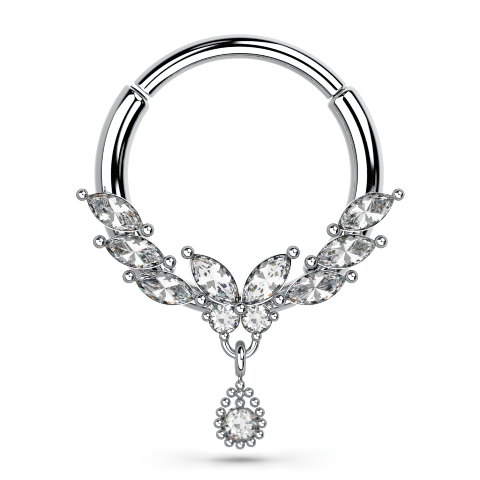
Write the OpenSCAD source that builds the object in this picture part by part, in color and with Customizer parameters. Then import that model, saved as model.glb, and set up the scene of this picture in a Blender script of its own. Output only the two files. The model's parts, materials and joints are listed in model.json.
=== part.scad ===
// Hinged septum ring with a winged row of pointed oval stones and a hanging drop.
// Sizes are in millimetres. The ring stands in the XZ plane, +Z is up and -Y is the front.
// The origin is the middle of the hinged bar, on its centre line, where the ring hangs.

/* [Ring] */
// Diameter of the hinged bar's wire
bar_d = 1.2; // [1.1:0.05:1.25]
// Diameter of the thick tube below the seams
tube_d = 1.65; // [1.6:0.05:1.75]
// Diameter of the slimmer bar behind the middle stones
slim_d = 1.2; // [1.1:0.05:1.25]
// Radius of the ring's centre line
ring_r = 6.12; // [6.1:0.01:6.2]
// Radius of the slimmer bar's centre line
slim_r = 6.25; // [6.2:0.01:6.3]
// Turn from the top to the hinge seam, in degrees
hinge_turn = 51.1; // [50:0.1:52]
// Turn from the top to the clasp seam, in degrees
clasp_turn = 50.6; // [50:0.1:52]
// Turn from the top to where the thick tube starts to end behind the stones, in degrees
tube_turn = 144; // [140:1:146]

/* [Hinge and clasp] */
// Gap between the bar and the tube at the hinge
hinge_gap = 0.2; // [0.18:0.01:0.25]
// Gap between the bar and the tube at the clasp
clasp_gap = 0.05; // [0.04:0.01:0.1]
// Diameter of the hinge pin
pin_d = 0.4; // [0.36:0.02:0.42]
// Radial clearance of the tongue's bore on the pin
pin_play = 0.025; // [0.02:0.005:0.03]
// Thickness of the tongue at the hinge
tongue_t = 0.5; // [0.44:0.02:0.54]
// Thickness of the lug at the clasp
lug_t = 0.44; // [0.4:0.02:0.5]

/* [Stones] */
// Half the length of a side stone
side_l = 1.52; // [1.48:0.01:1.54]
// Half the width of a side stone
side_w = 0.72; // [0.7:0.01:0.74]
// Half the length of a leaf stone
leaf_l = 1.6; // [1.58:0.01:1.62]
// Half the width of a leaf stone
leaf_w = 0.75; // [0.73:0.01:0.76]
// Radius of a round stone under the leaves
round_r = 0.715; // [0.7:0.005:0.72]
// Radius of the drop's stone
drop_r = 0.75; // [0.73:0.01:0.76]
// Height of the underside of every girdle in front of the ring's centre plane
girdle_h = 1.56; // [1.5:0.01:1.6]

/* [Drop] */
// Radius of the bail's centre line
bail_r = 0.65; // [0.64:0.01:0.68]
// Diameter of the bail's wire
bail_d = 0.5; // [0.46:0.02:0.5]
// Diameter of the carrying loop's wire
loop_d = 0.4; // [0.36:0.02:0.4]
// Radius of an outer bead of the drop
bead_r = 0.235; // [0.22:0.005:0.24]
// Radius of an inner bead of the drop
small_bead_r = 0.21; // [0.2:0.005:0.215]

/* [Hidden] */
$fn = 64;
STEEL = "#c9ccd0";
CRYSTAL = "#eef2f6";
// How far a cutting shape runs past what it cuts
past = 0.1;

// Turn that spans a length along the ring's centre line, in degrees
function turn_of(length) = length / ring_r * 180 / PI;

// Rounded ends of the tube and the bar: length of the end piece and radius of its edge
tube_end_l = 0.22;
tube_end_r = 0.2;
low_end_l = 0.3;
low_end_r = 0.28;
bar_end_l = 0.12;
bar_end_r = 0.1;
end_steps = 5;
core_l = 0.1;
end_step = 0.01;
// How far the slimmer bar runs into the thick tube, in degrees
slim_reach = 6;

// The pin's centre from the tube's end face and from the tube's centre line
pin_in = 0.45;
pin_out = 0.33;
tongue_r = 0.4;
tongue_core = 0.37;
tongue_half = 0.52;
tongue_neck = 0.25;
tongue_root = 0.6;
root_half = 0.3;
slot_play = 0.02;
slot_deep = 0.9;
pin_back = 0.74;
pin_front = 0.56;
pin_seat = 0.01;

// The clasp's lug and its slot, which is open towards the outside of the ring
lug_in = 0.42;
lug_half = 0.3;
lug_root = 0.3;
lug_slot_in = 0.52;
lug_slot_half = 0.36;
lug_slot_play = 0.03;

// Cut of the stones: angles of the crown and the pavilion, table inset and girdle height
crown_angle = 34;
pavilion_angle = 41;
table_inset = 0.31;
girdle_t = 0.04;
stone_gap = 0.015;
ring_points = 16;

// Settings, as heights in front of the ring's centre plane and as offsets from a stone's edge
rail_out = 0.07;
rail_in = 0.1;
rail_low = 1.25;
rail_top = 1.64;
seat_drop = 0.01;
seat_h = girdle_h - rail_in * tan(pavilion_angle) - seat_drop;
foot_out = 0.16;
foot_in = 0.34;
foot_low = 0.2;
foot_top = 0.95;
ball_h = 1.72;
pocket_top = 1.73;
claw_share = 0.5;
claw_low = 0.6;
strut_r = 0.12;
strut_top = 1.38;
round_rail_out = 0.05;
round_rail_in = 0.13;
round_seat_h = girdle_h - round_rail_in * tan(pavilion_angle) - seat_drop;
leaf_rail_out = 0.09;
round_foot_out = 0.5;
round_foot_in = 0.3;

// Places of the stones on the right, from the top: middle across, middle up, turn of the long axis
SIDE_STONES = [
    [5.98, -7.915, 28.6],
    [5.035, -9.79, 16.1],
    [3.58, -11.525, 17.9]
];
LEAF_STONE = [1.233, -11.134, 46.8];
ROUND_STONE = [0.775, -12.98, 0];

// Balls on the claw tips on the right: across, up, radius
SIDE_BALLS = [
    [[4.43, -8.76, 0.32], [7.53, -7.07, 0.30]],
    [[3.37, -10.27, 0.31], [6.70, -9.31, 0.30]],
    [[1.86, -12.08, 0.33], [5.30, -10.97, 0.30]]
];
LEAF_BALL = [2.51, -9.82, 0.305];
MIDDLE_BALL = [0, -12.49, 0.34];
OUTER_BALL = [1.61, -12.87, 0.235];
LOW_BALL = [0.77, -13.81, 0.25];
LINK_BALL = [1.42, -12.42, 0.2];
link_h = 1.35;

// The carrying loop and the drop: heights are along Z, depths in front of the ring's centre plane
loop_r = 0.745;
loop_z = -14;
loop_leg_top = -13.6;
drop_h = 1.35;
bail_z = -14.9;
neck_r = 0.12;
neck_top = -15.65;
neck_low = -16;

// The drop's plate, stone and beads, measured from the middle of its stone
drop_z = -18;
drop_shift = 0.12;
plate_back = -0.45;
plate_front = -0.04;
drop_girdle = 0.05;
drop_hole_r = 0.45;
plate_share = 0.96;
collar_t = 0.08;
collar_top = 0.12;
// Outer beads from the top down: across, up
BEADS = [
    [0, 1.86], [0.42, 1.50], [0.70, 1.03], [0.93, 0.55],
    [1.03, 0.03], [0.91, -0.50], [0.52, -0.87], [0, -0.99]
];
INNER_BEADS = [[0, 1.43], [0, 0.97]];

// Lens outline of a pointed oval stone: radius of its two arcs and how far their centres lie off
function lens_r(l, w) = (l * l + w * w) / (2 * w);
function lens_off(l, w) = lens_r(l, w) - w;

// Points round a lens that is grown by an offset, clockwise from the left tip
function lens_half(r, off, n, up) = [
    for (i = [0 : n / 2 - 1])
        let (reach = acos(off / r), t = reach * (4 * i / n - 1))
            [up * r * sin(t), up * (r * cos(t) - off)]
];
function lens_points(l, w, grow, n) =
    let (r = lens_r(l, w) + grow, off = lens_off(l, w))
        concat(lens_half(r, off, n, 1), lens_half(r, off, n, -1));

// Points round a circle, clockwise from the top
function circle_points(r, n) = [for (i = [0 : n - 1]) [r * sin(360 * i / n), r * cos(360 * i / n)]];

function lifted(points, h) = [for (p = points) [p[0], p[1], h]];

// Moves a shape from the top of the ring to a turn on the right of it.
// There +X runs down into the tube and +Z points out of the ring.
module at_turn(turn) {
    translate([0, 0, -ring_r])
        rotate([0, turn, 0])
            translate([0, 0, ring_r])
                children();
}

// The same on the left
module at_left_turn(turn) {
    mirror([1, 0, 0])
        at_turn(turn)
            children();
}

// Moves a shape that faces +Z to a place on the front, and turns it there
module on_front(place) {
    translate([place[0], 0, place[1]])
        rotate([90, 0, 0])
            rotate([0, 0, place[2]])
                children();
}

module both_sides() {
    children();
    mirror([1, 0, 0])
        children();
}

// Round bar along the ring between two turns
module ring_arc(line_r, d, from_turn, to_turn) {
    translate([0, 0, -ring_r])
        rotate([90, 0, 0])
            rotate([0, 0, 90 - to_turn])
                rotate_extrude(angle = to_turn - from_turn)
                    translate([line_r, 0])
                        circle(d = d);
}

// End of a round bar with a rounded edge, from the origin along +Z.
// It is a small step thinner than the bar and starts inside it.
module rounded_end(d, l, r) {
    end_r = d / 2 - end_step;
    rotate_extrude()
        polygon(concat(
            [[0, -core_l], [end_r, -core_l]],
            [for (i = [0 : end_steps])
                let (t = 90 * i / end_steps)
                    [end_r - r + r * cos(t), l - r + r * sin(t)]],
            [[0, l]]
        ));
}

// Round rod between two points
module rod(from, to, r) {
    run = to - from;
    translate(from)
        rotate([0, acos(run[2] / norm(run)), atan2(run[1], run[0])])
            cylinder(h = norm(run), r = r);
}

module ball(place, h) {
    translate([place[0], -h, place[1]])
        rotate([90, 0, 0])
            sphere(r = place[2]);
}

// Pointed oval outline, grown by an offset
module lens(l, w, grow) {
    intersection() {
        translate([0, -lens_off(l, w)])
            circle(r = lens_r(l, w) + grow);
        translate([0, lens_off(l, w)])
            circle(r = lens_r(l, w) + grow);
    }
}

module lens_ring(l, w, outer, inner, low, high) {
    translate([0, 0, low])
        linear_extrude(high - low)
            difference() {
                lens(l, w, outer);
                lens(l, w, inner);
            }
}

module round_ring(outer_r, inner_r, low, high) {
    translate([0, 0, low])
        linear_extrude(high - low)
            difference() {
                circle(r = outer_r);
                circle(r = inner_r);
            }
}

// Rail and foot of a pointed oval setting, with a strut on each side
module lens_setting(l, w, outer) {
    lens_ring(l, w, outer, -rail_in, rail_low, rail_top);
    lens_ring(l, w, -foot_out, -foot_in, foot_low, foot_top);
    strut_low_y = w - (foot_out + foot_in) / 2;
    for (side = [-1, 1])
        rod([0, side * strut_low_y, claw_low], [0, side * (w - strut_r / 4), strut_top], strut_r);
}

// Rail and foot of a round setting
module round_setting() {
    round_ring(round_r + round_rail_out, round_r - round_rail_in, rail_low, rail_top);
    round_ring(round_foot_out, round_foot_in, foot_low, foot_top);
}

// Claw from a foot out to the ball on its tip, both given as across and up on the front.
// It is claw_share times as thick as its ball.
module claw(middle, foot_reach, tip) {
    way = [tip[0] - middle[0], tip[1] - middle[1]];
    start = [middle[0], middle[1]] + way * foot_reach / norm(way);
    rod([start[0], -claw_low, start[1]], [tip[0], -ball_h, tip[1]], claw_share * tip[2]);
    ball(tip, ball_h);
}

module lens_pocket(l, w) {
    translate([0, 0, seat_h])
        linear_extrude(pocket_top - seat_h)
            lens(l, w, stone_gap);
}

module round_pocket() {
    translate([0, 0, round_seat_h])
        cylinder(h = pocket_top - round_seat_h, r = round_r + stone_gap);
}

// Tube, bar and rounded ends, without the stones' settings
module tube() {
    hinge_start = hinge_turn + turn_of(tube_end_l);
    clasp_start = clasp_turn + turn_of(tube_end_l);
    ring_arc(ring_r, tube_d, clasp_start, tube_turn);
    mirror([1, 0, 0])
        ring_arc(ring_r, tube_d, hinge_start, tube_turn);
    slim_start = tube_turn - slim_reach;
    ring_arc(slim_r, slim_d, slim_start, 360 - slim_start);
    at_turn(clasp_start)
        rotate([0, -90, 0])
            rounded_end(tube_d, tube_end_l, tube_end_r);
    at_left_turn(hinge_start)
        rotate([0, -90, 0])
            rounded_end(tube_d, tube_end_l, tube_end_r);
    both_sides()
        at_turn(tube_turn)
            rotate([0, 90, 0])
                rounded_end(tube_d, low_end_l, low_end_r);
}

// Slot of the hinge fork and the hole for its pin, from the back
module hinge_cuts() {
    slot_t = tongue_t + 2 * slot_play;
    at_left_turn(hinge_turn) {
        translate([-1, -slot_t / 2, -tube_d])
            cube([1 + slot_deep, slot_t, 2 * tube_d]);
        translate([pin_in, -pin_front, pin_out])
            rotate([-90, 0, 0])
                cylinder(h = pin_front + tube_d, d = pin_d + 2 * pin_seat);
    }
}

// Slot that takes the bar's lug
module clasp_cut() {
    slot_t = lug_t + 2 * lug_slot_play;
    at_turn(clasp_turn)
        translate([-1, -slot_t / 2, -lug_slot_half])
            cube([1 + lug_slot_in, slot_t, lug_slot_half + tube_d]);
}

// Half-round loop under the round stones, with its two legs
module carrying_loop() {
    translate([0, -drop_h, loop_z])
        rotate([90, 0, 0])
            rotate([0, 0, 180])
                rotate_extrude(angle = 180)
                    translate([loop_r, 0])
                        circle(d = loop_d);
    both_sides()
        translate([loop_r, -drop_h, loop_z])
            cylinder(h = loop_leg_top - loop_z, d = loop_d);
}

// Settings, claws and balls of one side
module side_settings() {
    for (i = [0 : 2]) {
        stone = SIDE_STONES[i];
        on_front(stone)
            lens_setting(side_l, side_w, rail_out);
        for (tip = SIDE_BALLS[i])
            claw(stone, side_l - 2 * foot_out, tip);
    }
    on_front(LEAF_STONE)
        lens_setting(leaf_l, leaf_w, leaf_rail_out);
    claw(LEAF_STONE, leaf_l - 2 * foot_out, LEAF_BALL);
    on_front(ROUND_STONE)
        round_setting();
    for (tip = [OUTER_BALL, LOW_BALL])
        claw(ROUND_STONE, (round_foot_out + round_foot_in) / 2, tip);
    ball(LINK_BALL, link_h);
}

module side_pockets() {
    for (stone = SIDE_STONES)
        on_front(stone)
            lens_pocket(side_l, side_w);
    on_front(LEAF_STONE)
        lens_pocket(leaf_l, leaf_w);
    on_front(ROUND_STONE)
        round_pocket();
}

// Post and ball where the two leaves and the two round stones meet
module middle_claw() {
    translate([MIDDLE_BALL[0], 0, MIDDLE_BALL[1]])
        rotate([90, 0, 0])
            cylinder(h = ball_h, r = claw_share * MIDDLE_BALL[2]);
    ball(MIDDLE_BALL, ball_h);
}

module ring_body() {
    color(STEEL)
        union() {
            difference() {
                tube();
                hinge_cuts();
                clasp_cut();
            }
            difference() {
                union() {
                    both_sides()
                        side_settings();
                    middle_claw();
                    carrying_loop();
                }
                both_sides()
                    side_pockets();
            }
        }
}

// Flat tongue with the hinge's bore, in the frame of the tube's end
module tongue() {
    translate([0, tongue_t / 2, 0])
        rotate([90, 0, 0])
            linear_extrude(tongue_t)
                difference() {
                    union() {
                        polygon([
                            [-tongue_root, -root_half], [-tongue_neck, -tongue_half],
                            [0, -tongue_half], [pin_in, pin_out - tongue_core],
                            [pin_in, pin_out + tongue_core], [0, tongue_half],
                            [-tongue_neck, tongue_half], [-tongue_root, root_half]
                        ]);
                        translate([pin_in, pin_out])
                            circle(r = tongue_r);
                    }
                    translate([pin_in, pin_out])
                        circle(d = pin_d + 2 * pin_play);
                }
}

// Flat lug with a round nose, in the frame of the tube's end
module lug() {
    translate([0, lug_t / 2, 0])
        rotate([90, 0, 0])
            linear_extrude(lug_t)
                polygon(concat(
                    [[-lug_root, lug_half], [-lug_root, -lug_half]],
                    [for (i = [0 : 2 * end_steps])
                        let (t = 90 * (i / end_steps - 1))
                            [lug_in - lug_half + lug_half * cos(t), lug_half * sin(t)]]
                ));
}

module hinged_bar() {
    left_end = hinge_turn - turn_of(hinge_gap + bar_end_l);
    right_end = clasp_turn - turn_of(clasp_gap + bar_end_l);
    color(STEEL)
        union() {
            ring_arc(ring_r, bar_d, -left_end, right_end);
            at_turn(right_end)
                rotate([0, 90, 0])
                    rounded_end(bar_d, bar_end_l, bar_end_r);
            at_left_turn(left_end)
                rotate([0, 90, 0])
                    rounded_end(bar_d, bar_end_l, bar_end_r);
            at_left_turn(hinge_turn)
                tongue();
            at_turn(clasp_turn)
                lug();
        }
}

module hinge_pin() {
    color(STEEL)
        at_left_turn(hinge_turn)
            translate([pin_in, pin_seat - pin_front, pin_out])
                rotate([-90, 0, 0])
                    cylinder(h = pin_back + pin_front - pin_seat, d = pin_d);
}

// Cut stone with a table, a crown of kite and star facets and a pointed pavilion.
// edge and table are rings of points, deep is the depth of the pavilion.
module cut_stone(edge, table, deep) {
    n = len(edge);
    half = n / 2;
    crown = table_inset * tan(crown_angle);
    upper = half;
    lower = half + n;
    points = concat(
        lifted(table, girdle_t + crown), lifted(edge, girdle_t), lifted(edge, 0), [[0, 0, -deep]]
    );
    table_face = [[for (i = [0 : half - 1]) i]];
    kites = [for (i = [0 : half - 1]) for (j = [0, 1])
        [upper + (2 * i + n - 1 + j) % n, upper + (2 * i + j) % n, i]];
    stars = [for (i = [0 : half - 1]) [upper + (2 * i + 1) % n, (i + 1) % half, i]];
    girdle = [for (i = [0 : n - 1]) [upper + (i + 1) % n, upper + i, lower + i, lower + (i + 1) % n]];
    pavilion = [for (i = [0 : n - 1]) [lower + (i + 1) % n, lower + i, lower + n]];
    color(CRYSTAL)
        polyhedron(points = points, faces = concat(table_face, kites, stars, girdle, pavilion));
}

module lens_stone(l, w) {
    translate([0, 0, girdle_h])
        cut_stone(
            lens_points(l, w, 0, ring_points),
            lens_points(l, w, -table_inset, ring_points / 2),
            w * tan(pavilion_angle)
        );
}

module round_stone(r) {
    cut_stone(
        circle_points(r, ring_points),
        circle_points(r - table_inset, ring_points / 2),
        r * tan(pavilion_angle)
    );
}

module side_stone(i) {
    on_front(SIDE_STONES[i])
        lens_stone(side_l, side_w);
}

module marquise_right_1() {
    side_stone(0);
}

module marquise_right_2() {
    side_stone(1);
}

module marquise_right_3() {
    side_stone(2);
}

module marquise_left_1() {
    mirror([1, 0, 0])
        side_stone(0);
}

module marquise_left_2() {
    mirror([1, 0, 0])
        side_stone(1);
}

module marquise_left_3() {
    mirror([1, 0, 0])
        side_stone(2);
}

module leaf_right() {
    on_front(LEAF_STONE)
        lens_stone(leaf_l, leaf_w);
}

module leaf_left() {
    mirror([1, 0, 0])
        leaf_right();
}

module round_right() {
    on_front(ROUND_STONE)
        translate([0, 0, girdle_h])
            round_stone(round_r);
}

module round_left() {
    mirror([1, 0, 0])
        round_right();
}

// Moves a shape that faces +Z to the middle of the drop's stone
module on_drop() {
    translate([0, -drop_h - drop_shift, drop_z])
        rotate([90, 0, 0])
            children();
}

// Bail that hangs on the carrying loop, and the neck under it
module bail() {
    translate([0, -drop_h, bail_z])
        rotate([0, 90, 0])
            rotate_extrude()
                translate([bail_r, 0])
                    circle(d = bail_d);
    translate([0, -drop_h, neck_low])
        cylinder(h = neck_top - neck_low, r = neck_r);
}

// Outline of the plate, close inside the middles of the outer beads
function plate_outline() = plate_share * concat(
    BEADS,
    [for (i = [len(BEADS) - 2 : -1 : 1]) [-BEADS[i][0], BEADS[i][1]]]
);

// Bead on the plate, turned so that its own +X points out from the stone
module bead(place, r) {
    translate([place[0], place[1], 0])
        rotate([0, 0, atan2(place[1], place[0])])
            sphere(r = r);
}

module drop_plate() {
    seat_l = drop_r - drop_hole_r;
    seat_deep = seat_l * tan(pavilion_angle);
    difference() {
        union() {
            translate([0, 0, plate_back])
                linear_extrude(plate_front - plate_back)
                    polygon(plate_outline());
            translate([0, 0, plate_back + past])
                cylinder(h = collar_top - plate_back - past, r = drop_r + collar_t);
            for (place = BEADS)
                for (side = place[0] == 0 ? [1] : [-1, 1])
                    bead([side * place[0], place[1]], bead_r);
            for (place = INNER_BEADS)
                bead(place, small_bead_r);
        }
        translate([0, 0, plate_back - past])
            cylinder(h = collar_top - plate_back + 2 * past, r = drop_hole_r);
        translate([0, 0, drop_girdle - seat_deep - stone_gap])
            cylinder(h = seat_deep, r1 = drop_hole_r, r2 = drop_r + stone_gap);
        translate([0, 0, drop_girdle - stone_gap])
            cylinder(h = bead_r + past, r = drop_r + stone_gap);
    }
}

module drop_setting() {
    color(STEEL)
        union() {
            bail();
            on_drop()
                drop_plate();
        }
}

module drop_stone() {
    on_drop()
        translate([0, 0, drop_girdle])
            round_stone(drop_r);
}

ring_body();
hinged_bar();
hinge_pin();
marquise_left_1();
marquise_left_2();
marquise_left_3();
marquise_right_1();
marquise_right_2();
marquise_right_3();
leaf_left();
leaf_right();
round_left();
round_right();
drop_setting();
drop_stone();
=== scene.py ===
"""Looks of a hinged septum ring with a winged row of clear stones and a hanging drop.

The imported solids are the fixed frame. Every piece below stands where its solid does, in metres:
+X is the photograph's right, -Y the front with the stones, +Z up, and the origin is the middle of the hinged bar.
"""

import json
from functools import partial
from math import acos, cos, pi, radians, sin, sqrt, tan

import bmesh
import bpy
from bpy.props import FloatProperty, FloatVectorProperty, PointerProperty
from mathutils import Matrix, Vector


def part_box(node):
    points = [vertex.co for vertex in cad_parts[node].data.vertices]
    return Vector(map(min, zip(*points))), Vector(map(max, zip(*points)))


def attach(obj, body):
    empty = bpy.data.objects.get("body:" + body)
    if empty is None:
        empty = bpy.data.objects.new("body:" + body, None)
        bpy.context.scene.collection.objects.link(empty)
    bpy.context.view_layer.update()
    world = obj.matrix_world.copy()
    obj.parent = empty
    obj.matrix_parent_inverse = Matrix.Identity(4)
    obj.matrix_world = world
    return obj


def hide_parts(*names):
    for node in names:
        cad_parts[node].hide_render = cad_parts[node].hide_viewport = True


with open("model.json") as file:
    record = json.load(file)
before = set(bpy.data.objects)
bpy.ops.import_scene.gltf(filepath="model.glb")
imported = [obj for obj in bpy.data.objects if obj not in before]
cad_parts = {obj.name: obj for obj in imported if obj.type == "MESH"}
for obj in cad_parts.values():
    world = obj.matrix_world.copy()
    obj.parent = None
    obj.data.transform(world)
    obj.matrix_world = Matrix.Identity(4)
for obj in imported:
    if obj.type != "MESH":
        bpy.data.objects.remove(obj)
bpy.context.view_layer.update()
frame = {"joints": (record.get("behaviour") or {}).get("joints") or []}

bl_info = {
    "name": "Hinged septum ring",
    "version": (1, 0, 0),
    "blender": (4, 5, 0),
    "location": "View3D > Sidebar > Septum ring",
    "description": "Polished steel clicker ring with pointed oval and round stones and a swinging drop",
    "category": "Add Mesh",
}

MM = 0.001
RING, BAR, DROP = "ring", "clicker_bar", "drop"
BAR_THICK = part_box("hinged_bar")[1].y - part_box("hinged_bar")[0].y
# How far in front of the ring's centre plane the drop hangs: at its joint
DROP_DEPTH = -next(joint["pos_m"][1] for joint in frame["joints"] if joint["name"] == "drop_swing")
# Left and right swapped, and what faces up turned to the front
MIRROR, FORWARD = Matrix.Scale(-1, 4, (1, 0, 0)), Matrix.Rotation(pi / 2, 4, "X")

# ---- sizes

# Tube ends: how far the edge is rounded on the outside and on the inside of the ring
HINGE_END = (0.12 * MM, 0.36 * MM)
CLASP_END = (0.36 * MM, 0.30 * MM)
LOW_END = 0.28 * MM
LOW_END_LENGTH = 0.3 * MM
BAR_END = 0.11 * MM
HINGE_GAP = 0.2 * MM
CLASP_GAP = 0.05 * MM

# Hinge: the pin's centre from the end of the tube and from its centre line, the tongue and its fork
PIN_IN, PIN_OUT = 0.45 * MM, 0.33 * MM
PIN_RADIUS = 0.2 * MM
PIN_PLAY = 0.025 * MM
PIN_SEAT = 0.01 * MM
PIN_FRONT = 0.55 * MM
PIN_BACK = 0.74 * MM
PIN_SPOT = Vector((PIN_IN, 0, PIN_OUT))
TONGUE_THICK = 0.5 * MM
TONGUE_RADIUS = 0.4 * MM
TONGUE_HALF = 0.52 * MM
TONGUE_NECK = 0.25 * MM
TONGUE_ROOT = 0.6 * MM
TONGUE_ROOT_HALF = 0.3 * MM
# How much the tongue's front falls away per unit of its length
TONGUE_FALL = 0.12
FORK_PLAY = 0.02 * MM
FORK_DEEP = 0.9 * MM

# Clasp: the lug on the bar and its slot in the tube, open to the outside
LUG_THICK = 0.44 * MM
LUG_IN, LUG_HALF, LUG_ROOT = 0.42 * MM, 0.3 * MM, 0.3 * MM
LUG_SLOT_IN, LUG_SLOT_HALF = 0.52 * MM, 0.36 * MM
LUG_PLAY = 0.03 * MM

# Heights in front of the ring's centre plane
GIRDLE_H = 1.56 * MM
GIRDLE_T = 0.04 * MM
BALL_H = 1.72 * MM
LINK_H = 1.35 * MM
RAIL_LOW, RAIL_TOP = 1.25 * MM, 1.64 * MM
FOOT_LOW, FOOT_TOP = 0.2 * MM, 0.95 * MM
CLAW_LOW = 0.6 * MM
STRUT_TOP = 1.38 * MM
STRUT_RADIUS = 0.12 * MM

# Settings, as offsets from the edge of a stone
STONE_GAP = 0.015 * MM
RAIL_IN, SIDE_RAIL_OUT, LEAF_RAIL_OUT = 0.1 * MM, 0.07 * MM, 0.09 * MM
ROUND_RAIL_IN, ROUND_RAIL_OUT = 0.13 * MM, 0.05 * MM
FOOT_OUT, FOOT_IN = 0.16 * MM, 0.34 * MM
ROUND_FOOT = (0.5 * MM, 0.3 * MM)
SOFT_EDGE = 0.025 * MM
# Share of a soft edge at which its middle point lies, and share of it that the rails' lips take
EDGE_BEND, LIP_BEND = 0.3, 0.4

# Cut of the stones: main facets round a stone, angle of the crown, share of it that the stars take
MAINS = 8
CROWN_ANGLE = radians(34)
STAR_SHARE = 0.5
# Angle of the pavilion, width of the crown, share of the depth that the lower halves take
OVAL_CUT = (radians(45), 0.25 * MM, 0.4)
ROUND_CUT = (radians(43), 0.31 * MM, 0.24)
# Refractive index that gives each cut its pattern of light and dark
OVAL_INDEX, ROUND_INDEX = 1.5, 2.15
# Colours painted on a few facets near the rim, for the coloured flashes of dispersed light and the dark reflections
# of a cut stone: size of the painted flashes, how near the rim they start (0 on the table, 1 on the girdle), how near
# the rim the pavilion counts as, and the painted colours by share
PAINTED_FIRE_CELL = 0.16 * MM
PAINTED_FIRE_RIM = 0.4
PAVILION_RIM = 0.3
PAINTED_FIRE = [
    (0.5, "#141c3a"), (0.6, "#1c1c1c"), (0.73, "#a8693a"), (0.78, "#6d7546"), (0.82, "#5f938c"), (0.86, "#ffffff"),
]

# Stones on the right: middle across, middle up (mm), turn of the long axis (degrees)
SIDE_STONES = [(5.98, -7.915, 28.6), (5.035, -9.79, 16.1), (3.58, -11.525, 17.9)]
LEAF_STONE = (1.233, -11.134, 46.8)
ROUND_STONE = (0.775, -12.98, 0.0)
# Balls on the claws on the right: across, up, radius (mm)
SIDE_BALLS = [
    ((4.43, -8.76, 0.335), (7.53, -7.07, 0.30)),
    ((3.37, -10.27, 0.33), (6.70, -9.31, 0.325)),
    ((1.86, -12.08, 0.34), (5.30, -10.97, 0.325)),
]
LEAF_BALL = (2.51, -9.82, 0.33)
MIDDLE_BALL = (0.0, -12.49, 0.34)
OUTER_BALL = (1.61, -12.87, 0.25)
LOW_BALL = (0.77, -13.81, 0.26)
LINK_BALL = (1.42, -12.42, 0.2)
CLAW_SHARE = 0.5

# Carrying loop and drop
LOOP_RADIUS, LOOP_WIRE = 0.745 * MM, 0.2 * MM
LOOP_Z, LOOP_TOP = -14.0 * MM, -13.6 * MM
BAIL_RADIUS, BAIL_WIRE = 0.65 * MM, 0.25 * MM
BAIL_Z = -14.9 * MM
NECK_RADIUS = 0.12 * MM
NECK_TOP, NECK_LOW = -15.65 * MM, -16.0 * MM
DROP_Z, DROP_SHIFT = -18.0 * MM, 0.12 * MM
PLATE_BACK, PLATE_FRONT = -0.45 * MM, -0.04 * MM
PLATE_SHARE = 0.96
DROP_GIRDLE = 0.05 * MM
DROP_HOLE = 0.45 * MM
COLLAR_THICK, COLLAR_TOP = 0.06 * MM, 0.08 * MM
# How much the plate's face falls away towards the stone, and the sine of the turn from which it does
PLATE_DISH, DISH_FROM = 0.14, 0.45
BEAD_RADIUS, SMALL_BEAD_RADIUS, LOWEST_BEAD_RADIUS = 0.25 * MM, 0.22 * MM, 0.235 * MM
# Beads of the drop from the top down: across, up (mm)
BEADS = [
    (0, 1.86), (0.42, 1.50), (0.70, 1.03), (0.93, 0.55),
    (1.03, 0.03), (0.91, -0.50), (0.52, -0.87), (0, -0.99),
]
INNER_BEADS = [(0, 1.43), (0, 0.97)]

# How finely shapes are divided
ROUND_STEPS = 72
WIRE_STEPS = 32
ARC_STEPS = 22
EDGE_STEPS = 9
BALL_DETAIL = 4
SHARP_ANGLE = radians(32)
# Points nearer than this are merged, and the slack that sums are compared with
SAME_PLACE, SLACK = 1e-8, 1e-9

Length = partial(FloatProperty, unit="LENGTH")
Angle = partial(FloatProperty, subtype="ANGLE")
Colour = partial(FloatVectorProperty, subtype="COLOR", size=3)


class RingSizes(bpy.types.PropertyGroup):
    """Driving sizes of the ring and its stones"""

    tube_d: Length(name="Tube", description="Diameter of the thick tube", default=1.65 * MM)
    bar_d: Length(name="Bar", description="Diameter of the hinged bar", default=BAR_THICK)
    slim_d: Length(name="Slim bar", description="Diameter of the bar behind the middle stones", default=1.2 * MM)
    ring_r: Length(name="Ring radius", description="Radius of the ring's centre line", default=6.12 * MM)
    slim_r: Length(name="Slim radius", description="Radius of the slim bar's centre line", default=6.25 * MM)
    hinge_turn: Angle(name="Hinge turn", description="Turn from the top to the hinge seam", default=radians(51.1))
    clasp_turn: Angle(name="Clasp turn", description="Turn from the top to the clasp seam", default=radians(50.6))
    tube_turn: Angle(name="Tube turn", description="Turn from the top to the tube's end", default=radians(144))
    side_l: Length(name="Side stone length", description="Half the length of a side stone", default=1.52 * MM)
    side_w: Length(name="Side stone width", description="Half the width of a side stone", default=0.72 * MM)
    leaf_l: Length(name="Leaf stone length", description="Half the length of a leaf stone", default=1.6 * MM)
    leaf_w: Length(name="Leaf stone width", description="Half the width of a leaf stone", default=0.75 * MM)
    round_r: Length(name="Round stone", description="Radius of a round stone", default=0.715 * MM)
    drop_r: Length(name="Drop stone", description="Radius of the drop's stone", default=0.75 * MM)


def srgb(text):
    """Linear colour of an sRGB hex value."""
    parts = [int(text[i:i + 2], 16) / 255 for i in (1, 3, 5)]
    return tuple(p / 12.92 if p <= 0.04045 else ((p + 0.055) / 1.055) ** 2.4 for p in parts)


class RingFinish(bpy.types.PropertyGroup):
    """Colours of the ring, its stones and the paper it is seen on"""

    steel: Colour(name="Steel", description="Colour of the polished steel", default=srgb("#e3e4e6"))
    # Painted shade: the balls and small wires darken to this colour towards their outline
    rim: Colour(name="Rim", description="Colour of the burnished balls at their rim", default=srgb("#6f7175"))
    stone: Colour(name="Stone", description="Body colour of the clear stones", default=srgb("#ffffff"))
    paper: Colour(name="Paper", description="Colour of the floor", default=srgb("#f4f4f4"))


class StageSizes(bpy.types.PropertyGroup):
    """Where the photograph is taken from"""

    camera_azimuth: Angle(name="Azimuth", description="Turn of the camera round the ring", default=radians(-1.9))
    camera_elevation: Angle(name="Elevation", description="Height above the horizon", default=radians(1.0))
    frame_width: Length(name="Width seen", description="Width of the photograph at the stones", default=22.857 * MM)
    lens: FloatProperty(name="Lens", description="Focal length, in millimetres", default=600.0)
    floor_gap: Length(name="Floor gap", description="Height of the drop above the floor", default=0.5 * MM)


# ---- places

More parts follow.
